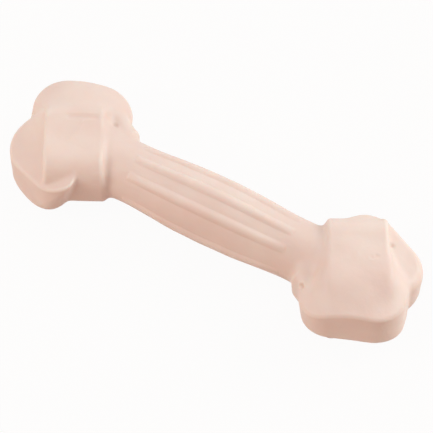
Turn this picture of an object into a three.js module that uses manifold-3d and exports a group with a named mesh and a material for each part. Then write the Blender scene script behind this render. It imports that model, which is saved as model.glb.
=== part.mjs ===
// Bone-shaped dog toy: a hollow moulded bone with a squeaker pressed into one resting pad.
// Millimetres. X runs along the bone, Z is up, and both resting pads lie on z = 0.

import * as THREE from 'three';
import { mergeVertices } from 'three/addons/utils/BufferGeometryUtils.js';
import Module from 'manifold-3d';

const wasm = await Module();
wasm.setup();

const DEGREE = Math.PI / 180;

// Moulded skin
const WALL = 4.5; // skin thickness, taken off every outer form to make the hollow
const AXIS_HEIGHT = 20.7; // long axis above the resting pads
const LEAST_EDGE = 1.2; // rounding that the inner forms keep

// Shaft: a barrel that flares into the knuckles
const SHAFT_HALF_LENGTH = 82;
const SHAFT_RADIUS = 19.2; // at the middle
const BARREL_DROP = 9.3; // radius lost at the end of the shaft
const FLARE_START = 32.8; // distance from the middle where the flare begins
const FLARE_RISE = 9.6; // radius won back by the flare

// Ribs: long narrow ridges along the shaft, at its top, bottom, sides and between
const RIB_HALF_LENGTH = 48;
const RIB_HALF_ANGLE = 9;
const RIB_HEIGHT = 1.2;
const RIB_SLANT = 36; // degrees from the top or bottom rib to the ribs beside it

// Lobe: the broad round half of each knuckle bar
const LOBE_X = 91.1; // centre from the middle of the bone
const LOBE_Y = 14; // centre from the long axis
const LOBE_LIFT = 1.7; // centre above the long axis
const LOBE_HALF_LONG = 27.9;
const LOBE_HALF_DEEP = 20.2;
const LOBE_CORNER = 19.6;
const LOBE_TOP = 16.1; // outer face above the centre
const LOBE_TOP_CROWN = 9; // fall of the outer face over half its depth
const LOBE_CREST = 4; // crest of the outer face beyond the centre, away from the block
const LOBE_TOP_EDGE = 3.7;
const LOBE_UNDER = 14; // inner face below the centre
const LOBE_UNDER_CROWN = 2;
const LOBE_UNDER_TILT = 3.6; // degrees, fall of the inner face along the lobe
const LOBE_UNDER_LEAN = -11.4; // degrees, fall of the inner face across the lobe
const LOBE_UNDER_EDGE = 5;
const LOBE_TURN = 20.6; // degrees round the vertical
const LOBE_LEAN = 4.7; // degrees round the long axis
const LOBE_TILT = 7.7; // degrees round the cross axis

// Block: the strap-like half of each knuckle bar, which rolls over beside the shaft and carries the pad
const BLOCK_X = 81.3;
const BLOCK_Y = 7.5;
const BLOCK_HALF_LONG = 14.6;
const BLOCK_HALF_DEEP = 22.4;
const BLOCK_HALF_HIGH = 16;
const BLOCK_FRONT_ROUND = 15.5; // roll over the end beside the shaft
const BLOCK_BACK_ROUND = 6.6; // roll over the end in the lobe
const BLOCK_EDGE = 3.5;
const BLOCK_DRAFT = 1.4; // degrees, taper of the sides
const BLOCK_TURN = 28.2;

// Squeaker case: a flanged plug held by a snap bead behind the skin
const CLEARANCE = 0.3; // between the squeaker parts and what holds them
const FLANGE_RECESS = 0.7; // flange below the pad, so that it never carries the toy
const FLANGE_THICK = 1.3;
const FLANGE_LIP = 2.4; // flange beyond the neck
const NECK_RADIUS = 6.6;
const BEAD_LIP = 1.2; // bead beyond the neck
const BEAD_RISE = 0.5;
const BEAD_LENGTH = 1.8;
const CASE_WALL = 1.8;
const CASE_HEIGHT = 14.5; // inner end above the pad
const CASE_END = 1.2;
const PORT_RADIUS = 2.0;

// Squeaker cap: a perforated disc in the mouth of the case
const CAP_THICK = 1.0;
const CAP_LEDGE = 1.0; // ledge that the cap sits on
const CAP_HOLE_RADIUS = 0.75;
const CAP_HOLE_CIRCLE = 3.2;
const CAP_HOLE_COUNT = 6;

// Reed: a thin tongue over an air channel, held at its root between two half-round blocks
const REED_THICK = 0.3;
const REED_WIDTH = 4.0;
const REED_ROOT = 3.2; // clamped length
const REED_TONGUE = 5.2; // free length
const REED_RELIEF = 0.5; // room under the tongue
const CHANNEL_WIDTH = 2.2;
const CHANNEL_DEPTH = 1.5;

// Fineness of the meshes
const SHAFT_RINGS = 28;
const RIB_STEPS = 3; // from the crest of a rib to its side
const GAP_STEP = 14; // widest step between two ribs, in degrees
const KNUCKLE_STEPS = 5; // in each quarter turn
const CROWN_SHARES = [0.4, 0.75]; // rings on the crowned faces, as shares of the way to the rim
const HOLLOW_RINGS = 10;
const HOLLOW_SIDES = 24;
const HOLLOW_STEPS = 2;
const TURNED_SIDES = 40;
const ARC_STEPS = 20;
const LEAST_CORNER = 0.1; // corner radius left at the rims of the blocks
const OVERCUT = 2; // length of a cutting tool beyond the face that it cuts

// Sizes that follow from the ones above
const flangeRadius = NECK_RADIUS + FLANGE_LIP;
const flangeTop = FLANGE_RECESS + FLANGE_THICK;
const boreRadius = NECK_RADIUS - CASE_WALL;
const seatRadius = boreRadius + CAP_LEDGE;
const seatTop = FLANGE_RECESS + CAP_THICK + CLEARANCE;
const boreTop = CASE_HEIGHT - CASE_END;
const blockLift = AXIS_HEIGHT - BLOCK_HALF_HIGH;
const padShift = (BLOCK_FRONT_ROUND - BLOCK_BACK_ROUND) / 2;
const padX = BLOCK_X + padShift * Math.sin(BLOCK_TURN * DEGREE);
const padY = BLOCK_Y - padShift * Math.cos(BLOCK_TURN * DEGREE);
const rootTop = boreTop - CLEARANCE;
const rootBottom = rootTop - REED_ROOT;
const tongueTip = rootBottom - REED_TONGUE;
const reedGap = REED_THICK / 2 + CLEARANCE;
const blockRadius = boreRadius - CLEARANCE;
const ribAngles = [0, 180].flatMap((face) => [face - RIB_SLANT, face, face + RIB_SLANT, face + 90]);

// Solids and booleans
function solidOf(geometry) {
  const plain = geometry.clone();
  plain.deleteAttribute('normal');
  plain.deleteAttribute('uv');
  const joined = mergeVertices(plain, 1e-4);
  const vertProperties = new Float32Array(joined.attributes.position.array);
  const triVerts = new Uint32Array(joined.index.array);
  return new wasm.Manifold(new wasm.Mesh({ numProp: 3, vertProperties, triVerts }));
}

function geometryOf(solid) {
  const mesh = solid.getMesh();
  const geometry = new THREE.BufferGeometry();
  geometry.setAttribute('position', new THREE.BufferAttribute(mesh.vertProperties, 3));
  geometry.setIndex(new THREE.BufferAttribute(mesh.triVerts, 1));
  return geometry;
}

function union(geometries) {
  return geometries.map(solidOf).reduce((whole, next) => whole.add(next));
}

// A skin over rings of points, closed at both ends. Each ring turns left, seen from the last ring.
function lofted(rings) {
  const sides = rings[0].length;
  const last = rings.length - 1;
  const middle = (ring) => [0, 1, 2].map((axis) => ring.reduce((sum, point) => sum + point[axis], 0) / sides);
  const points = [...rings.flat(), middle(rings[0]), middle(rings[last])];
  const firstMiddle = rings.length * sides;
  const lastMiddle = firstMiddle + 1;
  const faces = [];
  for (let side = 0; side < sides; side += 1) {
    const next = (side + 1) % sides;
    for (let ring = 0; ring < last; ring += 1) {
      const here = ring * sides;
      const there = here + sides;
      faces.push(here + side, here + next, there + side);
      faces.push(here + next, there + next, there + side);
    }
    faces.push(firstMiddle, next, side);
    faces.push(lastMiddle, last * sides + side, last * sides + next);
  }
  const form = new THREE.BufferGeometry();
  form.setAttribute('position', new THREE.Float32BufferAttribute(points.flat(), 3));
  form.setIndex(faces);
  return form;
}

// Points round a rectangle, with one corner radius for each quarter from the first to the fourth
function roundedRectangle(halfAcross, halfUp, radii, steps) {
  return radii.flatMap((radius, quarter) => {
    const across = (quarter === 0 || quarter === 3 ? 1 : -1) * (halfAcross - radius);
    const up = (quarter < 2 ? 1 : -1) * (halfUp - radius);
    return Array.from({ length: steps + 1 }, (_, step) => {
      const angle = (quarter + step / steps) * 90 * DEGREE;
      return [across + radius * Math.cos(angle), up + radius * Math.sin(angle)];
    });
  });
}

// Angles from nought to a right angle
function quarterTurn(steps) {
  return Array.from({ length: steps + 1 }, (_, step) => 90 * DEGREE * step / steps);
}

// The lobe of the upper left bar, shrunk by the inset: a crowned slab with rounded rims
function lobe(inset, steps) {
  const halfLong = LOBE_HALF_LONG - inset;
  const halfDeep = LOBE_HALF_DEEP - inset;
  const topEdge = Math.max(LOBE_TOP_EDGE - inset, LEAST_EDGE);
  const underEdge = Math.max(LOBE_UNDER_EDGE - inset, LEAST_EDGE);
  const ring = (share, rim, height) => {
    const corner = LOBE_CORNER - inset - rim;
    const outline = roundedRectangle(halfLong - rim, halfDeep - rim, Array(4).fill(corner), steps);
    const points = outline.map(([long, deep]) => [share * long, share * deep]);
    return points.map(([long, deep]) => [long, deep, height(long, deep)]);
  };
  const out = (long, deep) => (long / halfLong) ** 2 + (deep / halfDeep) ** 2;
  const tilt = Math.tan(LOBE_UNDER_TILT * DEGREE);
  const lean = Math.tan(LOBE_UNDER_LEAN * DEGREE);
  const top = (drop) => (long, deep) => (
    LOBE_TOP - inset - LOBE_TOP_CROWN * out(long, deep - LOBE_CREST) - drop
  );
  const under = (rise) => (long, deep) => (
    inset - LOBE_UNDER + LOBE_UNDER_CROWN * out(long, deep) - tilt * long - lean * deep + rise
  );
  const form = lofted([
    ...CROWN_SHARES.map((share) => ring(share, underEdge, under(0))),
    ...quarterTurn(steps).map((turn) => (
      ring(1, underEdge * (1 - Math.sin(turn)), under(underEdge * (1 - Math.cos(turn))))
    )),
    ...quarterTurn(steps).map((turn) => (
      ring(1, topEdge * (1 - Math.cos(turn)), top(topEdge * (1 - Math.sin(turn))))
    )),
    ...CROWN_SHARES.toReversed().map((share) => ring(share, topEdge, top(0))),
  ]);
  form.rotateZ(LOBE_TURN * DEGREE);
  form.rotateY(LOBE_TILT * DEGREE);
  form.rotateX(LOBE_LEAN * DEGREE);
  return form.translate(-LOBE_X, LOBE_Y, LOBE_LIFT);
}

// The block of the upper left bar, shrunk by the inset: a strap with rolled ends and tapered, rounded sides
function block(inset, steps) {
  const halfLong = BLOCK_HALF_LONG - inset;
  const edge = Math.max(BLOCK_EDGE - inset, LEAST_EDGE);
  const front = Math.max(BLOCK_FRONT_ROUND - inset, edge);
  const back = Math.max(BLOCK_BACK_ROUND - inset, edge);
  const taper = Math.tan(BLOCK_DRAFT * DEGREE);
  const ring = (way, turn) => {
    const rim = edge * (1 - Math.sin(turn));
    const long = halfLong - edge * (1 - Math.cos(turn));
    const radii = [back, front, front, back].map((radius) => Math.max(radius - rim, LEAST_CORNER));
    const outline = roundedRectangle(
      BLOCK_HALF_DEEP - inset - rim,
      BLOCK_HALF_HIGH - inset - rim,
      radii,
      steps,
    );
    return outline.map(([deep, high]) => [way * (long - taper * high), deep, high]);
  };
  const turns = quarterTurn(steps);
  const form = lofted([
    ...turns.map((turn) => ring(-1, turn)),
    ...turns.toReversed().map((turn) => ring(1, turn)),
  ]);
  form.rotateZ(BLOCK_TURN * DEGREE);
  return form.translate(-BLOCK_X, -BLOCK_Y, blockLift);
}

// Both bars of both knuckles: the lower bar is the upper one turned over about the long axis,
// and the right knuckle is the left one turned about the vertical
function knuckles(inset, steps) {
  const upper = [lobe(inset, steps), block(inset, steps)];
  const lower = upper.map((form) => form.clone().rotateX(180 * DEGREE));
  const left = [...upper, ...lower];
  const right = left.map((form) => form.clone().rotateZ(180 * DEGREE));
  return [...left, ...right];
}

// Shaft radius along the bone, and the height of the ribs on it
function barrelRadius(x) {
  const along = x / SHAFT_HALF_LENGTH;
  const flare = Math.max(0, Math.abs(x) - FLARE_START) / (SHAFT_HALF_LENGTH - FLARE_START);
  return SHAFT_RADIUS - BARREL_DROP * along * along + FLARE_RISE * flare * flare;
}

function ribHeight(x, angle) {
  const ends = Math.sqrt(Math.max(0, 1 - (x / RIB_HALF_LENGTH) ** 4));
  const offsets = ribAngles.map((rib) => Math.abs((angle - rib + 540) % 360 - 180));
  const across = Math.min(1, Math.min(...offsets) / RIB_HALF_ANGLE);
  return RIB_HEIGHT * ends * Math.cos(across * 90 * DEGREE) ** 2;
}

// Angles round the shaft: close together on the ribs and wide apart between them
function ribbedAngles() {
  return ribAngles.flatMap((rib, index) => {
    const next = ribAngles[index + 1] ?? ribAngles[0] + 360;
    const onRib = Array.from({ length: 2 * RIB_STEPS + 1 }, (_, step) => (
      rib + RIB_HALF_ANGLE * (step / RIB_STEPS - 1)
    ));
    const gap = next - rib - 2 * RIB_HALF_ANGLE;
    const parts = Math.ceil(gap / GAP_STEP);
    const between = Array.from({ length: parts - 1 }, (_, step) => (
      rib + RIB_HALF_ANGLE + gap * (step + 1) / parts
    ));
    return [...onRib, ...between];
  });
}

function evenAngles(sides) {
  return Array.from({ length: sides }, (_, side) => 360 * side / sides);
}

// The shaft as rings of points. The angle turns from straight up to the front.
function shaft(inset, rings, angles, ribbed) {
  const half = SHAFT_HALF_LENGTH - inset;
  return lofted(Array.from({ length: rings + 1 }, (_, ring) => {
    const x = half * (2 * ring / rings - 1);
    return angles.map((angle) => {
      const radius = barrelRadius(x) - inset + (ribbed ? ribHeight(x, angle) : 0);
      return [x, -radius * Math.sin(angle * DEGREE), radius * Math.cos(angle * DEGREE)];
    });
  }));
}

// An upright cylinder between two heights on the squeaker's axis
function plug(radius, bottom, top) {
  const form = new THREE.CylinderGeometry(radius, radius, top - bottom, TURNED_SIDES);
  form.rotateX(90 * DEGREE);
  return form.translate(-padX, padY, (bottom + top) / 2);
}

// The moulded bone: outer forms less the inner forms less the stepped hole for the squeaker
function boneBody() {
  const outer = union([shaft(0, SHAFT_RINGS, ribbedAngles(), true), ...knuckles(0, KNUCKLE_STEPS)]);
  const hollowShaft = shaft(WALL, HOLLOW_RINGS, evenAngles(HOLLOW_SIDES), false);
  const inner = union([hollowShaft, ...knuckles(WALL, HOLLOW_STEPS)]);
  const bone = geometryOf(outer.subtract(inner)).translate(0, 0, AXIS_HEIGHT);
  const counterbore = plug(flangeRadius + CLEARANCE, -OVERCUT, flangeTop + CLEARANCE);
  const hole = plug(NECK_RADIUS + CLEARANCE, -OVERCUT, WALL + OVERCUT);
  return geometryOf(solidOf(bone).subtract(union([counterbore, hole])));
}

// A profile of [radius, height] points turned about the vertical
function turned(profile, sides) {
  const points = profile.map(([radius, height]) => new THREE.Vector2(radius, height));
  return new THREE.LatheGeometry(points, sides).rotateX(90 * DEGREE);
}

function squeakerCase() {
  const beadStart = WALL + CLEARANCE;
  return turned([
    [seatRadius, FLANGE_RECESS],
    [flangeRadius, FLANGE_RECESS],
    [flangeRadius, flangeTop],
    [NECK_RADIUS, flangeTop],
    [NECK_RADIUS, beadStart],
    [NECK_RADIUS + BEAD_LIP, beadStart + BEAD_RISE],
    [NECK_RADIUS, beadStart + BEAD_LENGTH],
    [NECK_RADIUS, CASE_HEIGHT],
    [PORT_RADIUS, CASE_HEIGHT],
    [PORT_RADIUS, boreTop],
    [boreRadius, boreTop],
    [boreRadius, seatTop],
    [seatRadius, seatTop],
    [seatRadius, FLANGE_RECESS],
  ], TURNED_SIDES);
}

function squeakerCap() {
  const disc = new THREE.Shape();
  disc.absarc(0, 0, seatRadius - CLEARANCE, 0, 360 * DEGREE);
  const middle = new THREE.Path();
  middle.absarc(0, 0, CAP_HOLE_RADIUS, 0, 360 * DEGREE);
  disc.holes.push(middle);
  for (let hole = 0; hole < CAP_HOLE_COUNT; hole += 1) {
    const angle = 360 * DEGREE * hole / CAP_HOLE_COUNT;
    const ring = new THREE.Path();
    const x = CAP_HOLE_CIRCLE * Math.cos(angle);
    const y = CAP_HOLE_CIRCLE * Math.sin(angle);
    ring.absarc(x, y, CAP_HOLE_RADIUS, 0, 360 * DEGREE);
    disc.holes.push(ring);
  }
  const cap = new THREE.ExtrudeGeometry(disc, {
    depth: CAP_THICK,
    bevelEnabled: false,
    curveSegments: ARC_STEPS,
  });
  return cap.translate(0, 0, FLANGE_RECESS);
}

// A half-round section below its flat, with the air channel in the flat, between two heights
function channelBlock(flat, bottom, top) {
  const half = Math.acos(flat / blockRadius);
  const start = -90 * DEGREE - half;
  const outline = new THREE.Shape();
  outline.absarc(0, 0, blockRadius, start, start + 2 * half);
  outline.lineTo(CHANNEL_WIDTH / 2, -flat);
  outline.lineTo(CHANNEL_WIDTH / 2, -flat - CHANNEL_DEPTH);
  outline.lineTo(-CHANNEL_WIDTH / 2, -flat - CHANNEL_DEPTH);
  outline.lineTo(-CHANNEL_WIDTH / 2, -flat);
  const form = new THREE.ExtrudeGeometry(outline, {
    depth: top - bottom,
    bevelEnabled: false,
    curveSegments: ARC_STEPS,
  });
  return form.translate(0, 0, bottom);
}

function reedBlock() {
  const root = channelBlock(reedGap, rootBottom, rootTop);
  const bed = channelBlock(reedGap + REED_RELIEF, tongueTip, rootTop);
  return geometryOf(union([root, bed]));
}

function reedClamp() {
  const half = Math.acos(reedGap / blockRadius);
  const outline = new THREE.Shape();
  outline.absarc(0, 0, blockRadius, 90 * DEGREE - half, 90 * DEGREE + half);
  const form = new THREE.ExtrudeGeometry(outline, {
    depth: REED_ROOT,
    bevelEnabled: false,
    curveSegments: ARC_STEPS,
  });
  return form.translate(0, 0, rootBottom);
}

function reed() {
  const length = REED_ROOT + REED_TONGUE;
  const form = new THREE.BoxGeometry(REED_WIDTH, REED_THICK, length);
  return form.translate(0, 0, tongueTip + length / 2);
}

// Materials and named parts
function part(name, geometry, colour, roughness) {
  const shown = geometry.clone();
  shown.computeVertexNormals();
  const mesh = new THREE.Mesh(shown, new THREE.MeshStandardMaterial({ color: colour, roughness }));
  mesh.name = name;
  return mesh;
}

const toy = new THREE.Group();
toy.name = 'bone_toy';
toy.add(part('bone_body', boneBody(), 0xe6c8b9, 0.6));

const squeaker = new THREE.Group();
squeaker.name = 'squeaker';
squeaker.position.set(-padX, padY, 0);
squeaker.add(part('squeaker_case', squeakerCase(), 0xf1ece3, 0.45));
squeaker.add(part('squeaker_cap', squeakerCap(), 0xe4ddd0, 0.45));
squeaker.add(part('reed_block', reedBlock(), 0xf1ece3, 0.45));
squeaker.add(part('reed_clamp', reedClamp(), 0xe4ddd0, 0.45));
squeaker.add(part('reed', reed(), 0xd9d4c4, 0.3));
toy.add(squeaker);

export default toy;
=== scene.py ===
"""Looks of a bone-shaped dog toy: its moulded skin, its squeaker and a plain studio."""

import math

import bpy
import numpy as np
from bpy.props import FloatProperty, FloatVectorProperty, PointerProperty
from mathutils import Matrix, Vector


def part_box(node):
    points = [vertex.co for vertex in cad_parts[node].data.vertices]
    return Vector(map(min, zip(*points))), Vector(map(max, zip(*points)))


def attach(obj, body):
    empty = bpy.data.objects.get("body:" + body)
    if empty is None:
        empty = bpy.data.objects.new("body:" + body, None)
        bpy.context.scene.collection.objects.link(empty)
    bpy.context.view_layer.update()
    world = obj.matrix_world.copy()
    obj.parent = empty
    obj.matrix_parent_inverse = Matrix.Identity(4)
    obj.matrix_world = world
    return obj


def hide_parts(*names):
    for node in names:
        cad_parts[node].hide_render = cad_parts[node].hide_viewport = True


bl_info = {
    "name": "Bone Dog Toy",
    "version": (1, 0, 0),
    "blender": (4, 5, 0),
    "location": "View3D > Sidebar > Bone Toy",
    "description": "Builds the skin, the squeaker finish and the studio of a bone-shaped dog toy",
    "category": "Object",
}

MM = 0.001

# Small dents on the skin: middle and radius of the ball that presses each one, in millimetres
DENTS = (
    (64.5, -23.5, 30.0, 2.2),
    (96.0, 22.5, 31.0, 2.0),
    (-70.0, 16.0, 34.5, 2.2),
    (92.5, 4.5, 44.0, 2.2),
    (94.0, 6.0, 44.0, 2.4),
)

# Waves of the skin's unevenness: radians per millimetre along x, y and z, then the start
BROAD_WAVES = ((0.13, 0.21, 0.0, 1.3), (0.0, 0.17, -0.11, 0.4))
NARROW_WAVES = ((0.33, 0.0, -0.29, 2.1), (0.0, 0.31, 0.27, 0.0))
BROAD_SHARE = 0.65

# Where the crown of a lobe stops falling, in halves of its depth and of its length
CREST_LIMIT = 1.5
MIDDLE_LIMIT = 1.2

# Meshing of the skin
LAYERS_AT_ONCE = 24
EVENING_ROUNDS = 3
SLOPE_PROBE = 0.2 * MM
LEAST_STEEPNESS = 0.2
LONGEST_MOVE = 0.5
FEWEST_FACES = 1000

# Range of grey that a noise texture mostly keeps to
NOISE_LOW = 0.3
NOISE_HIGH = 0.7

# Camera and floor
PHOTO_PIXELS = 433
SENSOR_WIDTH = 36
CAMERA_RANGE = 20
FLOOR_HALF = 4.0
FLOOR_ROUGHNESS = 0.9
FLOOR_SPECULAR = 0.1

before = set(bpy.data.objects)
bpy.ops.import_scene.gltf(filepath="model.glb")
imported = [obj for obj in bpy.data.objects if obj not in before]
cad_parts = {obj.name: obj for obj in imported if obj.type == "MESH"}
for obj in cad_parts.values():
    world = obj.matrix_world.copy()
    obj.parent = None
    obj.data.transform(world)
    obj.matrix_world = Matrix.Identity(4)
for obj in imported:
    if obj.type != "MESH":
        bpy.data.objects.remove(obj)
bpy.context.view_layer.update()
CASE_LOW, CASE_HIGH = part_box("squeaker_case")
BODY_LOW, BODY_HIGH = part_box("bone_body")
SQUEAKER_X = (CASE_LOW.x + CASE_HIGH.x) / 2
SQUEAKER_Y = (CASE_LOW.y + CASE_HIGH.y) / 2


# Settings

def length(name, description, millimetres):
    """A length property whose default is given in millimetres."""
    return FloatProperty(
        name=name, description=description, default=millimetres * MM, unit="LENGTH", precision=5
    )


def angle(name, description, degrees):
    """An angle property whose default is given in degrees."""
    return FloatProperty(
        name=name, description=description, default=math.radians(degrees), subtype="ANGLE"
    )


def colour(name, description, value):
    """A colour property."""
    return FloatVectorProperty(
        name=name, description=description, default=value, subtype="COLOR", size=3, min=0, max=1
    )


def share(name, description, value):
    """A number from zero to one."""
    return FloatProperty(name=name, description=description, default=value, min=0, max=1)


def number(name, description, value):
    """A plain number from zero up."""
    return FloatProperty(name=name, description=description, default=value, min=0)


def direction(name, description, value):
    """Metres to the right, to the back and up, as the camera sees it."""
    return FloatVectorProperty(name=name, description=description, default=value, size=3)


class ShaftForm(bpy.types.PropertyGroup):
    """The barrel between the knuckles and its ribs"""

    axis_height: length("Axis height", "Long axis above the resting pads", 20.7)
    half_length: length("Half length", "From the middle to the shaft's end in a knuckle", 82)
    radius: length("Radius", "Radius at the middle", 19.2)
    barrel_drop: length("Barrel drop", "Radius lost at the end of the shaft", 9.3)
    flare_start: length("Flare start", "From the middle to where the neck begins to flare", 32.8)
    flare_rise: length("Flare rise", "Radius won back by the flare", 9.6)
    rib_height: length("Rib height", "Height of a rib", 1.45)
    rib_half_length: length("Rib half length", "Half the length of a rib", 48)
    rib_half_angle: angle("Rib half angle", "Half the width of a rib, round the shaft", 9)
    rib_slant: angle("Rib slant", "Turn from the top or bottom rib to the ribs beside it", 36)


class LobeForm(bpy.types.PropertyGroup):
    """The broad round half of a knuckle bar"""

    x: length("X", "Centre along the bone, left end", -91.1)
    y: length("Y", "Centre across the bone", 14.0)
    lift: length("Lift", "Centre above the long axis", 1.7)
    turn: angle("Turn", "Turn round the vertical", 20.6)
    lean: angle("Lean", "Lean round the long axis", 4.7)
    tilt: angle("Tilt", "Tilt round the cross axis", 7.7)
    half_long: length("Half length", "Half size along the bar's own length", 27.9)
    half_deep: length("Half depth", "Half size across the bar", 20.2)
    corner: length("Corner", "Corner radius of the outline", 17)
    draft: angle("Draft", "Taper of the wall towards the inner face", 3)
    draft_start: length("Draft start", "Level above the centre where that taper begins", 8)
    top: length("Top", "Outer face above the centre", 16.1)
    top_crown: length("Top crown", "Fall of the outer face over half its depth", 9.0)
    side_crown: length("Side crown", "Fall of the outer face over half its length", 11.8)
    foot_crown: length("Foot crown", "Fall over half the depth at the right end", 5.0)
    foot_side_crown: length("Foot side crown", "Fall over half the length at the right end", 9.5)
    crest: length("Crest", "Crest of the outer face from the centre, away from the block", 4.0)
    top_edge: length("Top edge", "Rounding of the outer rim", 1.6)
    under: length("Under", "Inner face below the centre", 13.6)
    under_tilt: angle("Under tilt", "Fall of the inner face along the lobe", -6)
    under_lean: angle("Under lean", "Fall of the inner face across the lobe", -11.4)
    under_edge: length("Under edge", "Rounding of the inner rim", 1.5)


class LowerLobeForm(bpy.types.PropertyGroup):
    """What sets the lower lobes apart from the upper ones, and the left one from the right one"""

    corner: length("Corner", "Corner radius of the outline", 19.6)
    draft: angle("Draft", "Taper of the wall at the right end", 6.5)
    fall: share("Fall", "Fall of the outer face, as a share of the upper one's", 0.45)
    under_tilt: angle("Under tilt", "Fall of the inner face along the lobe", 3.6)
    right_under_edge: length("Right under edge", "Rounding of the inner rim, right end", 4.5)
    left_half_long: length("Left half length", "Half size along the left lobe", 31)
    left_half_deep: length("Left half depth", "Half size across the left lobe", 22.7)
    left_shift: length("Left shift", "Shift of the left lobe's outline towards the shaft", 0.8)
    left_draft: angle("Left draft", "Taper of the left lobe's wall", 12.0)
    bow: length("Bow", "Fall of the left lobe's long wall towards its ends", 4.2)
    bow_growth: share("Bow growth", "Growth of that fall towards the outer face", 0.16)
    tuck: length("Tuck", "From the centre to where the left lobe's end is cut back", 12.2)
    right_tuck: length("Right tuck", "The same distance on the right lobe", 30)
    tuck_angle: angle("Tuck angle", "Direction of that cut from the lobe's length", -45)
    tuck_lean: angle("Tuck lean", "Lean of the left cut, out at the inner rim", 14)
    tuck_round: length("Tuck round", "Rounding of the cut end at the inner rim", 4)
    tuck_growth: share("Tuck growth", "Growth of that rounding towards the outer face", 0.8)


class BlockForm(bpy.types.PropertyGroup):
    """The strap-like half of a knuckle bar, with the flat pad"""

    x: length("X", "Centre along the bone, left end", -82.3)
    y: length("Y", "Centre across the bone", -8.0)
    half_long: length("Half length", "Half width at mid height", 16.5)
    half_deep: length("Half depth", "Half depth", 22.4)
    half_high: length("Half height", "Half thickness, below the pad", 16.0)
    front_round: length("Front round", "Roll over the end beside the shaft", 15.5)
    foot_round: length("Foot round", "Rounding of the lower edge of that end", 7)
    back_round: length("Back round", "Roll over the end in the lobe", 6.6)
    edge: length("Edge", "Rounding of the side edges", 2.2)
    draft: angle("Draft", "Taper of the sides", 1.4)
    turn: angle("Turn", "Turn round the vertical", 28.2)


class SkinForm(bpy.types.PropertyGroup):
    """How the forms of the bone melt into each other"""

    bar_fillet: length("Bar fillet", "Fillet where a block meets its own lobe", 9.5)
    foot_fillet: length("Foot fillet", "The same fillet on the right upper bar", 20)
    crossing_fillet: length("Crossing fillet", "Fillet where one bar crosses the other", 2.3)
    shaft_fillet: length("Shaft fillet", "Fillet where the shaft meets a knuckle", 5.5)
    pad_edge: length("Pad edge", "Rounding of the rim of a resting pad", 3.0)
    waviness: length("Waviness", "Height of the soft unevenness of the moulding", 0.16)
    step: length("Mesh step", "Distance between mesh points", 0.6)


class MarkForm(bpy.types.PropertyGroup):
    """The groove where the left block ends, and how the small dents sit"""

    groove_deep: length("Groove place", "Block's middle to the groove, across the bar", 14.8)
    groove_long: length("Groove middle", "From the block's middle to the groove's middle", 4.5)
    groove_half: length("Groove half length", "Half the length of the groove", 7.0)
    groove_radius: length("Groove radius", "Radius of the tool that cuts the groove", 3.0)
    groove_rise: length("Groove rise", "Height of that tool's axis above the block", 2.6)
    dent_edge: length("Dent edge", "Rounding of the rim of a dent", 0.7)


class HoleForm(bpy.types.PropertyGroup):
    """The stepped hole of the squeaker, and the room behind it"""

    rim_radius: length("Rim radius", "Radius of the step for the flange", 9.3)
    rim_depth: length("Rim depth", "Depth of the step for the flange", 2.3)
    neck_radius: length("Neck radius", "Radius of the neck", 7.2)
    neck_depth: length("Neck depth", "Depth to the end of the neck", 9)
    room_radius: length("Room radius", "Radius of the room", 9.2)
    room_middle: length("Room middle", "Depth to the middle of the room", 10.5)
    room_half: length("Room half height", "Half the height of the room", 6)
    edge: length("Edge", "Rounding of the hole's edge", 0.6)


class SkinFinish(bpy.types.PropertyGroup):
    """Colours and grain of the skin, with its painted shade and painted highlight tones"""

    pink: colour("Pink", "Main colour", (0.80, 0.57, 0.49))
    cream: colour("Cream", "Paler cloud in the colour", (0.85, 0.65, 0.565))
    # Painted highlight: this palest tone is mixed onto the sharp convex edges to stand in for light
    # catching the rims
    pale: colour("Pale", "Palest tone, on the edges", (0.95, 0.86, 0.76))
    # Painted shade: this warmer, darker tone is mixed into the hollows to stand in for the shade
    # that falls there
    painted_shade_tone: colour("Painted shade", "Warmer tone in the hollows", (0.72, 0.46, 0.35))
    cloud_scale: number("Cloud scale", "Clouds of colour per metre", 26)
    cloud_low: share("Cloud low", "Grey where the clouds begin", 0.35)
    cloud_high: share("Cloud high", "Grey where the clouds are full", 0.68)
    # Pointiness range and most share of the painted shade in the hollows
    painted_shade_start: share("Hollow start", "Pointiness where the blush begins", 0.497)
    painted_shade_end: share("Hollow end", "Pointiness where the blush is full", 0.44)
    painted_shade_share: share("Hollow share", "Most blush in a hollow", 0.55)
    # Pointiness range and most share of the painted highlight on the edges
    painted_highlight_start: share("Edge start", "Pointiness where the paleness begins", 0.508)
    painted_highlight_end: share("Edge end", "Pointiness where the paleness is full", 0.56)
    painted_highlight_share: share("Edge share", "Most paleness on an edge", 0.85)
    patch_scale: number("Patch scale", "Patches of roughness per metre", 90)
    roughness_low: share("Low roughness", "Roughness of the smoothest patches", 0.43)
    roughness_high: share("High roughness", "Roughness of the roughest patches", 0.58)
    grain: length("Grain", "Height of the fine grain", 0.03)
    grain_scale: number("Grain scale", "Grains per metre", 1500)
    grain_roughness: share("Grain roughness", "Roughness of the grain's noise", 0.6)
    dimple_scale: number("Dimple scale", "Shallow dimples per metre", 210)
    dimple_weight: number("Dimple weight", "Height of the dimples, in heights of the grain", 4.0)
    bump: share("Bump", "Strength of grain and dimples", 0.55)
    subsurface: share("Subsurface", "Share of light that enters the skin", 0.25)
    subsurface_scale: length("Subsurface scale", "How far that light spreads", 3.0)
    subsurface_radius: colour("Subsurface radius", "Red, green and blue share", (1.0, 0.4, 0.25))
    specular: share("Specular", "Strength of the mirror reflection", 0.5)


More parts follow.
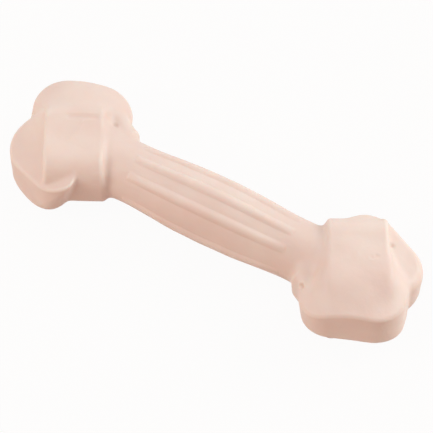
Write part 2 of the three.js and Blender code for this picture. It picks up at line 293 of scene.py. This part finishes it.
class SqueakerFinish(bpy.types.PropertyGroup):
    """Colours and grain of the squeaker"""

    plastic: colour("Plastic", "Natural plastic of the case and reed block", (0.83, 0.80, 0.73))
    plastic_roughness: share("Plastic roughness", "Middle of its roughness", 0.42)
    cap: colour("Cap", "Plastic of the perforated cap and reed clamp", (0.74, 0.70, 0.62))
    cap_roughness: share("Cap roughness", "Middle of its roughness", 0.45)
    reed: colour("Reed", "Thin film of the reed", (0.66, 0.63, 0.52))
    reed_roughness: share("Reed roughness", "Middle of its roughness", 0.25)
    cloud_scale: number("Cloud scale", "Clouds of colour per metre", 160)
    cloud_shade: share("Cloud shade", "Darkest cloud, as a share of the colour", 0.86)
    streak_scale: number("Streak scale", "Flow streaks per metre", 240)
    streak_stretch: number("Streak stretch", "How much denser the streaks lie along the height", 9)
    gloss_gain: share("Gloss gain", "Roughness lost in the glossiest streaks", 0.08)
    gloss_loss: share("Gloss loss", "Roughness added in the dullest streaks", 0.1)
    grain: length("Grain", "Height of the fine grain", 0.02)
    grain_scale: number("Grain scale", "Grains per metre", 3200)
    bump: share("Bump", "Strength of the grain", 0.4)


class StudioForm(bpy.types.PropertyGroup):
    """Camera, lamps and floor"""

    azimuth: angle("Azimuth", "Camera turn from the front towards the right end", 28.86)
    elevation: angle("Elevation", "Camera height above the horizon", 59.04)
    distance: length("Distance", "Camera distance", 1390)
    pixels_per_mm: number("Pixels per mm", "Image scale at the object", 1.853)
    centre_x: number("Centre X", "Image column of the object's middle", 214.34)
    centre_y: number("Centre Y", "Image row of the object's middle", 211.24)
    floor: colour("Floor", "Floor colour", (0.68, 0.51, 0.42))
    whiteness: share("Whiteness", "How far the floor is lifted to white before the camera", 0.95)
    sky: number("Sky", "Strength of the even light", 1.43)
    sky_bright: colour("Bright sky", "Light from behind and the right", (0.67, 0.79, 0.83))
    sky_dim: colour("Dim sky", "Light from the front and the left", (0.28, 0.16, 0.11))
    sky_side: direction("Bright side", "Direction of the bright sky", (0.58, 0.81, 0.0))
    left_lamp: number("Left lamp", "Power of the lamp on the left, in watts", 6.2)
    left_lamp_place: direction("Left lamp place", "From the bone to it", (-0.95, -0.30, 0.70))
    right_lamp: number("Right lamp", "Power of the lamp on the right, in watts", 6.6)
    right_lamp_place: direction("Right lamp place", "From the bone to it", (1.05, 0.30, 0.50))
    lamp_tint: colour("Lamp tint", "Colour of both lamps", (0.88, 0.99, 1.0))
    lamp_size: length("Lamp size", "Width of both lamps", 700)


class BoneToySettings(bpy.types.PropertyGroup):
    """Every size and colour of the toy and its studio"""

    shaft: PointerProperty(type=ShaftForm)
    lobe: PointerProperty(type=LobeForm)
    lower_lobe: PointerProperty(type=LowerLobeForm)
    block: PointerProperty(type=BlockForm)
    skin: PointerProperty(type=SkinForm)
    marks: PointerProperty(type=MarkForm)
    hole: PointerProperty(type=HoleForm)
    skin_finish: PointerProperty(type=SkinFinish)
    squeaker_finish: PointerProperty(type=SqueakerFinish)
    studio: PointerProperty(type=StudioForm)


# Distance forms of the moulded bone

def rounded_meet(a, b, radius):
    """Where two distances meet, the inside of both with a rounded edge."""
    a = a + radius
    b = b + radius
    outside = np.hypot(np.maximum(a, 0), np.maximum(b, 0))
    return outside + np.minimum(np.maximum(a, b), 0) - radius


def rounded_box(a, b, half_a, half_b, radius):
    """Distance to a flat rectangle with rounded corners, whose radius may differ by point."""
    return rounded_meet(np.abs(a) - half_a, np.abs(b) - half_b, radius)


def soft_union(a, b, width):
    """The outside of either distance, with a fillet of the given width."""
    share_of_both = np.maximum(width - np.abs(a - b), 0) / width
    return np.minimum(a, b) - share_of_both * share_of_both * width / 4


def soft_meet(a, b, width):
    """The inside of both distances, with an edge rounded over the given width."""
    return -soft_union(-a, -b, width)


def soft_cut(a, b, width):
    """The first distance with the second taken out of it."""
    return soft_meet(a, -b, width)


def bar_axes(turn, lean=0.0, tilt=0.0):
    """Axes turned round the vertical, tilted round the cross axis and leant round the long axis."""
    slant = Matrix.Rotation(lean, 3, "X") @ Matrix.Rotation(tilt, 3, "Y")
    return np.array(slant @ Matrix.Rotation(turn, 3, "Z"))


def upper_wall(long, deep, high, lobe):
    """Wall of an upper lobe."""
    outline = rounded_box(long, deep, lobe.half_long, lobe.half_deep, lobe.corner)
    return outline + math.tan(lobe.draft) * np.maximum(lobe.draft_start - high, 0)


def lower_wall(long, deep, high, lobe, low, right):
    """Wall of a lower lobe: the left one bows out, and its end is cut back beside the block."""
    bow = np.where(right, 0, low.bow + low.bow_growth * high)
    outline = rounded_box(
        long - np.where(right, 0, low.left_shift),
        np.abs(deep) + bow * (long / lobe.half_long) ** 2,
        np.where(right, lobe.half_long, low.left_half_long),
        np.where(right, lobe.half_deep, low.left_half_deep),
        low.corner,
    )
    taper = np.where(right, math.tan(low.draft), math.tan(low.left_draft))
    outline = outline + taper * np.maximum(lobe.draft_start - high, 0)
    reach = math.cos(low.tuck_angle) * long + math.sin(low.tuck_angle) * deep
    end = np.where(right, low.right_tuck, low.tuck - math.tan(low.tuck_lean) * high)
    roundness = low.tuck_round + low.tuck_growth * np.maximum(high + lobe.under, 0)
    return rounded_meet(outline, reach - end, roundness)


def crown_fall(long, deep, lobe, right):
    """How far the crowned outer face of a lobe has fallen from its top."""
    from_crest = np.minimum(np.abs(deep - lobe.crest) / lobe.half_deep, CREST_LIMIT) ** 2
    from_middle = np.minimum(np.abs(long) / lobe.half_long, MIDDLE_LIMIT) ** 2
    across = np.where(right, lobe.foot_crown, lobe.top_crown)
    along = np.where(right, lobe.foot_side_crown, lobe.side_crown)
    return across * from_crest + along * from_middle


def lobe_distance(points, toy, lower, right):
    """The broad half of a knuckle bar: a slab with crowned faces and rounded rims."""
    lobe, low = toy.lobe, toy.lower_lobe
    centre = np.array((lobe.x, lobe.y, lobe.lift))
    long, deep, high = ((points - centre) @ bar_axes(lobe.turn, lobe.lean, lobe.tilt)).T
    if lower:
        wall = lower_wall(long, deep, high, lobe, low, right)
        fall = low.fall * crown_fall(long, deep, lobe, np.zeros_like(right))
        under_tilt = low.under_tilt
        under_edge = np.where(right, low.right_under_edge, lobe.under_edge)
    else:
        wall = upper_wall(long, deep, high, lobe)
        fall = crown_fall(long, deep, lobe, right)
        under_tilt = lobe.under_tilt
        under_edge = lobe.under_edge
    slope = math.tan(under_tilt) * long + math.tan(lobe.under_lean) * deep
    slab = rounded_meet(wall, high - lobe.top + fall, lobe.top_edge)
    return rounded_meet(slab, -high - lobe.under - slope, under_edge)


def block_distance(points, block, pad_height):
    """The strap-like half of a knuckle bar: rolled ends, tapered sides and a flat pad."""
    centre = np.array((block.x, block.y, pad_height - block.half_high))
    long, deep, high = ((points - centre) @ bar_axes(block.turn)).T
    front = np.where(high > 0, block.front_round, block.foot_round)
    roll = np.where(deep < 0, front, block.back_round)
    strap = rounded_box(deep, high, block.half_deep, block.half_high, roll)
    slope = math.tan(block.draft)
    side = (np.abs(long) - block.half_long + slope * high) / math.hypot(1, slope)
    return rounded_meet(strap, side, block.edge)


def bar_distance(points, toy, lower, right):
    """One knuckle bar: a block and its own lobe, melted together."""
    lobe = lobe_distance(points, toy, lower, right)
    block = block_distance(points, toy.block, toy.shaft.axis_height)
    foot = np.zeros_like(right) if lower else right
    return soft_union(lobe, block, np.where(foot, toy.skin.foot_fillet, toy.skin.bar_fillet))


def rib_rise(along, around, shaft):
    """Height of the ribs: one at the top, the bottom and each side, and one on each slant."""
    ends = np.sqrt(np.maximum(0, 1 - (along / shaft.rib_half_length) ** 4))
    from_pole = np.abs((around + math.pi / 2) % math.pi - math.pi / 2)
    from_slant = np.abs(from_pole - shaft.rib_slant)
    from_side = np.abs(from_pole - math.pi / 2)
    from_rib = np.minimum.reduce([from_pole, from_slant, from_side])
    across = np.minimum(from_rib / shaft.rib_half_angle, 1)
    return shaft.rib_height * ends * (1 - across ** 2)


def shaft_distance(points, shaft):
    """The barrel that flares into the knuckles, with its ribs."""
    x, y, z = points.T
    along = np.minimum(np.abs(x), shaft.half_length)
    barrel = shaft.barrel_drop * (along / shaft.half_length) ** 2
    flare = np.maximum(along - shaft.flare_start, 0) / (shaft.half_length - shaft.flare_start)
    radius = shaft.radius - barrel + shaft.flare_rise * flare * flare
    rib = rib_rise(along, np.arctan2(-y, z), shaft)
    return np.maximum(np.hypot(y, z) - radius - rib, np.abs(x) - shaft.half_length)


def hole_distance(points, hole):
    """The stepped hole in the left resting pad, with the room behind it."""
    x, y, z = points.T
    out = np.hypot(x - SQUEAKER_X, y - SQUEAKER_Y)
    rim = np.maximum(out - hole.rim_radius, z - hole.rim_depth)
    neck = np.maximum(out - hole.neck_radius, z - hole.neck_depth)
    room = np.maximum(out - hole.room_radius, np.abs(z - hole.room_middle) - hole.room_half)
    return np.minimum.reduce([rim, neck, room])


def crossed_waves(points, waves):
    """The product of two waves, between minus one and one."""
    first, second = (np.sin(points @ np.array(wave[:3]) / MM + wave[3]) for wave in waves)
    return first * second


def unevenness(points):
    """Soft unevenness of a hand-finished mould, between minus one and one."""
    broad = crossed_waves(points, BROAD_WAVES)
    return BROAD_SHARE * broad + (1 - BROAD_SHARE) * crossed_waves(points, NARROW_WAVES)


def groove_distance(points, block, marks, pad_height):
    """A short groove across the left block, where its end meets the lobe behind it."""
    centre = np.array((block.x, block.y, pad_height + marks.groove_rise))
    long, deep, high = ((points - centre) @ bar_axes(block.turn)).T
    beyond = np.maximum(np.abs(long - marks.groove_long) - marks.groove_half, 0)
    away = np.sqrt(beyond ** 2 + (deep - marks.groove_deep) ** 2 + high ** 2)
    return away - marks.groove_radius


def dents_distance(points):
    """The balls that press the small dents."""
    balls = []
    for *middle, radius in DENTS:
        balls.append(np.linalg.norm(points - np.array(middle) * MM, axis=1) - radius * MM)
    return np.minimum.reduce(balls)


def bone_distance(points, toy):
    """Distance to the skin of the whole bone, minus inside. Points are in the frame, in metres."""
    skin, marks = toy.skin, toy.marks
    pad_height = toy.shaft.axis_height
    centred = points - np.array((0, 0, pad_height))
    right = centred[:, 0] > 0
    side = np.where(right, -1.0, 1.0)
    upper = centred * np.stack((side, side, np.ones_like(side)), 1)
    lower = upper * np.array((1.0, -1.0, -1.0))
    upper_bar = bar_distance(upper, toy, False, right)
    lower_bar = bar_distance(lower, toy, True, right)
    bone = soft_union(upper_bar, lower_bar, skin.crossing_fillet)
    bone = soft_union(bone, shaft_distance(centred, toy.shaft), skin.shaft_fillet)
    above_pad = np.abs(centred[:, 2]) - pad_height - skin.pad_edge / 2
    bone = soft_meet(bone, above_pad, skin.pad_edge)
    groove = groove_distance(centred, toy.block, marks, pad_height)
    bone = soft_cut(bone, groove, marks.dent_edge)
    bone = soft_cut(bone, dents_distance(points), marks.dent_edge)
    bone = bone - skin.waviness * unevenness(points)
    bone = np.maximum(bone, -points[:, 2])
    return soft_cut(bone, hole_distance(points, toy.hole), toy.hole.edge)


# Meshing of a distance form

def cell_points(values, cells):
    """For each grid cell that the zero level crosses, the mean of the crossings on its edges."""
    total = np.zeros((len(cells), 3))
    count = np.zeros((len(cells), 1))
    for corner in np.ndindex(2, 2, 2):
        for way in range(3):
            if corner[way]:
                continue
            start = np.array(corner)
            end = start + np.eye(3, dtype=int)[way]
            near = values[tuple((cells + start).T)]
            far = values[tuple((cells + end).T)]
            crossed = (near < 0) != (far < 0)
            part = np.where(crossed, near / np.where(crossed, near - far, 1), 0)[:, None]
            total += np.where(crossed[:, None], start + part * (end - start), 0)
            count += crossed[:, None]
    return cells + total / count


def edge_quads(inside, number_of_cell, way):
    """A quad round each grid edge along one way that the zero level crosses."""
    others = [axis for axis in range(3) if axis != way]
    one, two = np.eye(3, dtype=int)[[(way + 1) % 3, (way + 2) % 3]]
    layers = np.moveaxis(inside, way, 0)
    edges = np.argwhere(layers[:-1] != layers[1:])
    leaving = layers[tuple(edges.T)]
    edges = edges[:, np.argsort([way, *others])]
    around = (0 * one, one, one + two, two)
    quads = np.stack([number_of_cell[tuple((edges - step).T)] for step in around], 1)
    quads[~leaving] = quads[~leaving][:, ::-1]
    return quads


def net_of_quads(values):
    """Vertices, in grid steps, and quads round the zero level of a grid of distances."""
    inside = values < 0
    shape = np.array(values.shape) - 1
    corners_inside = np.zeros(shape, np.int8)
    for i, j, k in np.ndindex(2, 2, 2):
        corners_inside += inside[i:shape[0] + i, j:shape[1] + j, k:shape[2] + k]
    crossed = (corners_inside > 0) & (corners_inside < 8)
    cells = np.argwhere(crossed)
    number_of_cell = np.full(shape, -1)
    number_of_cell[crossed] = np.arange(len(cells))
    quads = [edge_quads(inside, number_of_cell, way) for way in range(3)]
    return cell_points(values, cells), np.concatenate(quads)


def evened(vertices, quads):
    """The vertices moved half way to the middle of their neighbours."""
    total = np.zeros_like(vertices)
    count = np.zeros((len(vertices), 1))
    for start, end in ((0, 1), (1, 2), (2, 3), (3, 0)):
        for here, there in ((start, end), (end, start)):
            np.add.at(total, quads[:, here], vertices[quads[:, there]])
            np.add.at(count, quads[:, here], 1)
    return (vertices + total / count) / 2


def pulled_to_form(vertices, distance, step):
    """The vertices moved along the slope to the zero level, by a part of a mesh step at most."""
    slope = np.stack([
        distance(vertices + way * SLOPE_PROBE) - distance(vertices - way * SLOPE_PROBE)
        for way in np.eye(3)
    ], 1) / (2 * SLOPE_PROBE)
    steepness = np.maximum((slope * slope).sum(1), LEAST_STEEPNESS)
    move = np.clip(distance(vertices) / steepness, -LONGEST_MOVE * step, LONGEST_MOVE * step)
    return vertices - slope * move[:, None]


def mesh_of_form(name, distance, low, high, step):
    """A mesh round the zero level of a distance form, inside a box."""
    axes = [np.arange(a - 2 * step, b + 3 * step, step) for a, b in zip(low, high)]
    values = np.empty([len(axis) for axis in axes], np.float32)
    for start in range(0, len(axes[0]), LAYERS_AT_ONCE):
        layers = slice(start, start + LAYERS_AT_ONCE)
        grid = np.stack(np.meshgrid(axes[0][layers], axes[1], axes[2], indexing="ij"), -1)
        values[layers] = distance(grid.reshape(-1, 3)).reshape(grid.shape[:3])
    vertices, quads = net_of_quads(values)
    vertices = np.array([axis[0] for axis in axes]) + vertices * step
    for _ in range(EVENING_ROUNDS):
        vertices = evened(evened(vertices, quads), quads)
        vertices = pulled_to_form(vertices, distance, step)
    mesh = bpy.data.meshes.new(name)
    mesh.from_pydata(vertices.tolist(), [], quads.tolist())
    mesh.validate()
    mesh.shade_smooth()
    return mesh


# Materials

def new_material(name):
    """A material with its shader, ready for nodes."""
    material = bpy.data.materials.new(name)
    material.use_nodes = True
    return material, material.node_tree, material.node_tree.nodes["Principled BSDF"]


def add_node(tree, kind, settings=(), inputs=()):
    """A node with its settings and its input values, or links where an input is a socket."""
    node = tree.nodes.new(kind)
    for key, value in dict(settings).items():
        setattr(node, key, value)
    for key, value in dict(inputs).items():
        if isinstance(value, bpy.types.NodeSocket):
            tree.links.new(value, node.inputs[key])
        else:
            node.inputs[key].default_value = value
    return node


def noise(tree, place, scale, detail, roughness=0.5):
    """The grey value of a noise texture."""
    inputs = {"Vector": place, "Scale": scale, "Detail": detail, "Roughness": roughness}
    return add_node(tree, "ShaderNodeTexNoise", inputs=inputs).outputs["Fac"]


def between(tree, value, low, high, new_low=0.0, new_high=1.0):
    """A value carried from one range to another."""
    inputs = {
        "Value": value, "From Min": low, "From Max": high, "To Min": new_low, "To Max": new_high,
    }
    return add_node(tree, "ShaderNodeMapRange", inputs=inputs).outputs["Result"]


def mixed(tree, factor, first, second):
    """A mix of two colours, each of them three numbers or a socket."""
    node = add_node(tree, "ShaderNodeMix", {"data_type": "RGBA"})
    tree.links.new(factor, node.inputs["Factor"])
    for socket, value in ((node.inputs[6], first), (node.inputs[7], second)):
        if isinstance(value, bpy.types.NodeSocket):
            tree.links.new(value, socket)
        else:
            socket.default_value = (*value, 1)
    return node.outputs[2]


def add_bump(tree, shader, height, strength, distance):
    """A bump on the shader's normal."""
    inputs = {"Strength": strength, "Distance": distance, "Height": height}
    bump = add_node(tree, "ShaderNodeBump", inputs=inputs)
    tree.links.new(bump.outputs["Normal"], shader.inputs["Normal"])


def skin_colour_with_painted_light(tree, place, finish):
    """Cloudy pink, with painted shade in the hollows (a warmer, darker tone) and a painted
    highlight on the edges (the palest tone).
    """
    grey = noise(tree, place, finish.cloud_scale, detail=3)
    cloud = between(tree, grey, finish.cloud_low, finish.cloud_high)
    bend = add_node(tree, "ShaderNodeNewGeometry").outputs["Pointiness"]
    # Painted shade: concave hollows get the warmer, darker tone
    hollow = between(tree, bend, finish.painted_shade_start, finish.painted_shade_end, 0, finish.painted_shade_share)
    # Painted highlight: sharp convex edges get the palest tone
    edge = between(tree, bend, finish.painted_highlight_start, finish.painted_highlight_end, 0, finish.painted_highlight_share)
    tint = mixed(tree, cloud, finish.pink, finish.cream)
    tint = mixed(tree, hollow, tint, finish.painted_shade_tone)
    return mixed(tree, edge, tint, finish.pale)


def skin_material(finish):
    """Pale pink moulded polymer: cloudy colour with painted shade in the hollows and painted
    highlights on the edges, satin face, fine grain and shallow dimples.
    """
    material, tree, shader = new_material("moulded_skin")
    place = add_node(tree, "ShaderNodeTexCoord").outputs["Object"]
    tree.links.new(skin_colour_with_painted_light(tree, place, finish), shader.inputs["Base Color"])
    rough = between(
        tree, noise(tree, place, finish.patch_scale, detail=4),
        NOISE_LOW, NOISE_HIGH, finish.roughness_low, finish.roughness_high,
    )
    tree.links.new(rough, shader.inputs["Roughness"])
    fine = noise(tree, place, finish.grain_scale, detail=3, roughness=finish.grain_roughness)
    dimples = between(
        tree, noise(tree, place, finish.dimple_scale, detail=2), NOISE_LOW, NOISE_HIGH
    )
    height = add_node(
        tree, "ShaderNodeMath", {"operation": "MULTIPLY_ADD"},
        {0: dimples, 1: finish.dimple_weight, 2: fine},
    ).outputs[0]
    add_bump(tree, shader, height, finish.bump, finish.grain)
    shader.inputs["Subsurface Weight"].default_value = finish.subsurface
    shader.inputs["Subsurface Radius"].default_value = finish.subsurface_radius
    shader.inputs["Subsurface Scale"].default_value = finish.subsurface_scale
    shader.inputs["Specular IOR Level"].default_value = finish.specular
    return material


def plastic_material(name, finish, tone, roughness):
    """Moulded plastic: slight clouding, flow streaks in the gloss and a fine grain."""
    material, tree, shader = new_material(name)
    place = add_node(tree, "ShaderNodeTexCoord").outputs["Object"]
    grey = noise(tree, place, finish.cloud_scale, detail=3)
    cloud = between(tree, grey, NOISE_LOW, NOISE_HIGH)
    darker = tuple(finish.cloud_shade * part for part in tone)
    tree.links.new(mixed(tree, cloud, darker, tone), shader.inputs["Base Color"])
    stretch = {"Vector": place, "Scale": (1, 1, finish.streak_stretch)}
    streaks = add_node(tree, "ShaderNodeMapping", inputs=stretch).outputs["Vector"]
    gloss = between(
        tree, noise(tree, streaks, finish.streak_scale, detail=2),
        NOISE_LOW, NOISE_HIGH, roughness - finish.gloss_gain, roughness + finish.gloss_loss,
    )
    tree.links.new(gloss, shader.inputs["Roughness"])
    grain = noise(tree, place, finish.grain_scale, detail=2)
    add_bump(tree, shader, grain, finish.bump, finish.grain)
    return material


def set_material(piece, material):
    """The material on every slot of a piece."""
    piece.data.materials.clear()
    piece.data.materials.append(material)


# Operators

class BONETOY_OT_skin(bpy.types.Operator):
    """Mould the skin of the bone: ribbed shaft, knuckle bars, fillets and the squeaker's hole"""

    bl_idname = "bonetoy.skin"
    bl_label = "Moulded skin"

    def execute(self, context):
        toy = context.scene.bone_toy
        margin = Vector((2 * MM, 2 * MM, 1 * MM))
        mesh = mesh_of_form(
            "moulded_skin",
            lambda points: bone_distance(points, toy),
            BODY_LOW - margin,
            BODY_HIGH + margin,
            toy.skin.step,
        )
        if len(mesh.polygons) < FEWEST_FACES:
            raise RuntimeError("the skin has too few faces")
        piece = bpy.data.objects.new("moulded_skin", mesh)
        context.scene.collection.objects.link(piece)
        set_material(piece, skin_material(toy.skin_finish))
        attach(piece, "toy")
        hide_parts("bone_body")
        return {"FINISHED"}


class BONETOY_OT_squeaker(bpy.types.Operator):
    """Finish the squeaker's case, cap, reed block and clamp, and its reed"""

    bl_idname = "bonetoy.squeaker"
    bl_label = "Squeaker finish"

    def execute(self, context):
        finish = context.scene.bone_toy.squeaker_finish
        plastic = plastic_material(
            "squeaker_plastic", finish, finish.plastic, finish.plastic_roughness
        )
        cap = plastic_material("squeaker_cap_plastic", finish, finish.cap, finish.cap_roughness)
        film = plastic_material("reed_film", finish, finish.reed, finish.reed_roughness)
        dress = {
            "squeaker_case": plastic,
            "squeaker_cap": cap,
            "reed_block": plastic,
            "reed_clamp": cap,
            "reed": film,
        }
        for node, material in dress.items():
            set_material(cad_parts[node], material)
        return {"FINISHED"}


class BONETOY_OT_studio(bpy.types.Operator):
    """Set the floor, the lamps and the camera of the photograph"""

    bl_idname = "bonetoy.studio"
    bl_label = "Studio"

    def execute(self, context):
        scene = context.scene
        studio = scene.bone_toy.studio
        scene.view_settings.view_transform = "Standard"
        right = Vector((math.cos(studio.azimuth), math.sin(studio.azimuth), 0))
        back = Vector((-math.sin(studio.azimuth), math.cos(studio.azimuth), 0))
        from_camera = Matrix((right, back, (0, 0, 1))).transposed()
        middle = Vector((0, 0, scene.bone_toy.shaft.axis_height))
        self.add_camera(scene, studio, middle, from_camera)
        self.add_floor(scene, studio)
        self.add_sky(scene, studio, from_camera @ Vector(studio.sky_side))
        for name in ("left_lamp", "right_lamp"):
            offset = from_camera @ Vector(getattr(studio, name + "_place"))
            self.add_lamp(scene, studio, name, middle, offset)
        return {"FINISHED"}

    @staticmethod
    def add_camera(scene, studio, middle, from_camera):
        """The camera, aimed so that the bone's middle lands where the photograph has it."""
        right, back, rise = from_camera.col
        up = back * math.sin(studio.elevation) + rise * math.cos(studio.elevation)
        toward = rise * math.sin(studio.elevation) - back * math.cos(studio.elevation)
        pixel = MM / studio.pixels_per_mm
        half_frame = PHOTO_PIXELS / 2
        aside = right * (half_frame - studio.centre_x) * pixel
        above = up * (studio.centre_y - half_frame) * pixel
        camera = bpy.data.cameras.new("photo_camera")
        camera.sensor_width = SENSOR_WIDTH
        camera.lens = camera.sensor_width * studio.distance / (PHOTO_PIXELS * pixel)
        camera.clip_end = CAMERA_RANGE
        holder = bpy.data.objects.new("photo_camera", camera)
        scene.collection.objects.link(holder)
        place = Matrix.Translation(middle + aside + above + toward * studio.distance)
        holder.matrix_world = place @ Matrix((right, up, toward)).transposed().to_4x4()
        scene.camera = holder

    @staticmethod
    def add_floor(scene, studio):
        """A pale floor, lifted to white before the camera, that keeps the bone's shadow."""
        mesh = bpy.data.meshes.new("floor")
        signs = ((-1, -1), (1, -1), (1, 1), (-1, 1))
        corners = [(x * FLOOR_HALF, y * FLOOR_HALF, 0) for x, y in signs]
        mesh.from_pydata(corners, [], [(0, 1, 2, 3)])
        floor = bpy.data.objects.new("floor", mesh)
        scene.collection.objects.link(floor)
        material, tree, shader = new_material("floor_paper")
        shader.inputs["Base Color"].default_value = (*studio.floor, 1)
        shader.inputs["Roughness"].default_value = FLOOR_ROUGHNESS
        shader.inputs["Specular IOR Level"].default_value = FLOOR_SPECULAR
        rays = add_node(tree, "ShaderNodeLightPath").outputs
        seen = add_node(
            tree, "ShaderNodeMath", {"operation": "ADD"},
            {0: rays["Is Camera Ray"], 1: rays["Is Glossy Ray"]},
        )
        seen = add_node(
            tree, "ShaderNodeMath", {"operation": "ADD", "use_clamp": True},
            {0: seen.outputs[0], 1: rays["Is Transmission Ray"]},
        )
        glow = add_node(tree, "ShaderNodeEmission", inputs={"Color": (1, 1, 1, 1), "Strength": 1})
        white = between(tree, seen.outputs[0], 0, 1, 0, studio.whiteness)
        mix = add_node(
            tree, "ShaderNodeMixShader",
            inputs={0: white, 1: shader.outputs[0], 2: glow.outputs[0]},
        )
        tree.links.new(mix.outputs[0], tree.nodes["Material Output"].inputs["Surface"])
        set_material(floor, material)

    @staticmethod
    def add_sky(scene, studio, bright_side):
        """An even sky, brighter on one side."""
        world = bpy.data.worlds.new("studio_sky")
        world.use_nodes = True
        tree = world.node_tree
        way = add_node(tree, "ShaderNodeTexCoord").outputs["Generated"]
        side = add_node(
            tree, "ShaderNodeVectorMath", {"operation": "DOT_PRODUCT"}, {0: way, 1: bright_side}
        )
        bright = between(tree, side.outputs["Value"], -1, 1)
        background = tree.nodes["Background"]
        light = mixed(tree, bright, studio.sky_dim, studio.sky_bright)
        tree.links.new(light, background.inputs["Color"])
        background.inputs["Strength"].default_value = studio.sky
        scene.world = world

    @staticmethod
    def add_lamp(scene, studio, name, target, offset):
        """A soft round lamp that faces the bone."""
        lamp = bpy.data.lights.new(name, "AREA")
        lamp.energy = getattr(studio, name)
        lamp.color = studio.lamp_tint
        lamp.shape = "DISK"
        lamp.size = studio.lamp_size
        holder = bpy.data.objects.new(name, lamp)
        scene.collection.objects.link(holder)
        holder.location = target + offset
        holder.rotation_euler = offset.to_track_quat("Z", "Y").to_euler()


class BONETOY_PT_panel(bpy.types.Panel):
    """The steps of the build, in order"""

    bl_idname = "BONETOY_PT_panel"
    bl_label = "Bone Toy"
    bl_space_type = "VIEW_3D"
    bl_region_type = "UI"
    bl_category = "Bone Toy"

    def draw(self, context):
        for step in STEPS:
            self.layout.operator(step.bl_idname)


STEPS = (BONETOY_OT_skin, BONETOY_OT_squeaker, BONETOY_OT_studio)
CLASSES = (
    ShaftForm, LobeForm, LowerLobeForm, BlockForm, SkinForm, MarkForm, HoleForm,
    SkinFinish, SqueakerFinish, StudioForm, BoneToySettings, *STEPS, BONETOY_PT_panel,
)


def register():
    """Add the classes and the scene's settings."""
    for item in CLASSES:
        bpy.utils.register_class(item)
    bpy.types.Scene.bone_toy = PointerProperty(type=BoneToySettings)


def unregister():
    """Take the settings and the classes away."""
    del bpy.types.Scene.bone_toy
    for item in reversed(CLASSES):
        bpy.utils.unregister_class(item)


def main():
    """Build every piece in order."""
    register()
    bpy.ops.bonetoy.skin()
    bpy.ops.bonetoy.squeaker()
    bpy.ops.bonetoy.studio()


if __name__ == "__main__":
    main()
